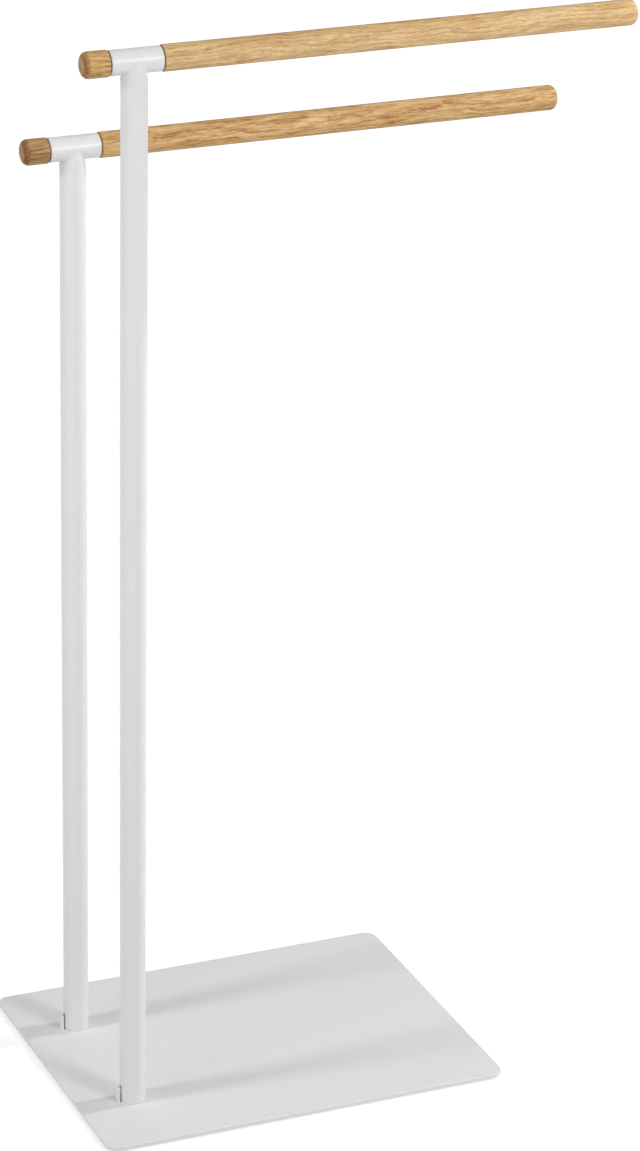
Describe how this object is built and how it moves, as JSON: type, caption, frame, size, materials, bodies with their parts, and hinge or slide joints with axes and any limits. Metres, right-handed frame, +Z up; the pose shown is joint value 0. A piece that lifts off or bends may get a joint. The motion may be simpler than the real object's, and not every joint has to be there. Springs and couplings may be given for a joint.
{
  "type": "freestanding towel stand",
  "caption": "Freestanding towel stand: flat steel base plate, round steel uprights of unequal height, and turned oak rails that reach out to one side to hang towels on.",
  "frame": {"origin": "on the floor, under the middle of the base plate: centre of the lining's underside", "axes": "+X along the rails towards their free ends, +Y from the taller front upright to the lower rear one, +Z up"},
  "size_m": [0.4435, 0.264, 0.8549],
  "materials": {
    "powder_coat": "white powder coat, satin, fine orange peel",
    "eva_lining": "matt closed-cell foam sheet",
    "bright_steel": "turned, bare",
    "zinc_steel": "bright zinc plate",
    "oak": "oak, turned, matt clear oil",
    "insert_brass": "turned, bare"
  },
  "bodies": {
    "root": {"base_plate": "powder_coat", "base_lining": "eva_lining", "front_foot_key": "powder_coat", "front_foot_plug": "bright_steel", "front_foot_screw": "zinc_steel", "front_upright": "powder_coat", "front_sleeve": "powder_coat", "front_rail": "oak", "front_stub": "oak", "front_rail_insert": "insert_brass", "front_stub_insert": "insert_brass", "front_rail_stud": "zinc_steel", "rear_foot_key": "powder_coat", "rear_foot_plug": "bright_steel", "rear_foot_screw": "zinc_steel", "rear_upright": "powder_coat", "rear_sleeve": "powder_coat", "rear_rail": "oak", "rear_stub": "oak", "rear_rail_insert": "insert_brass", "rear_stub_insert": "insert_brass", "rear_rail_stud": "zinc_steel"}
  },
  "joints": []
}
